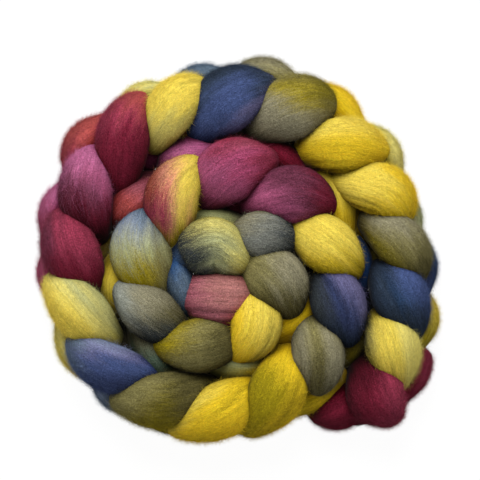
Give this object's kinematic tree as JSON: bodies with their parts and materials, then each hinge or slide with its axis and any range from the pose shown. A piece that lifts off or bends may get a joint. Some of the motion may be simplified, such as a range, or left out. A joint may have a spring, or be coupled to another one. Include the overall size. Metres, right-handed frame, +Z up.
{
  "type": "wool roving braid",
  "caption": "Combed wool roving chained into a thick soft braid and coiled flat, with its inner end tucked into the middle.",
  "frame": {"origin": "middle of the coil's bounding box, at the height of the surface that it lies on", "axes": "+Z up, the way that the flat coil is thin; +X to the right and +Y to the far side as in the picture, with the braid's outer end at +X -Y"},
  "size_m": [0.2204, 0.2134, 0.0448],
  "materials": {
    "dyed_wool": "soft matt combed wool, dyed in patches"
  },
  "bodies": {
    "root": {"roving_braid": "dyed_wool"}
  },
  "joints": []
}
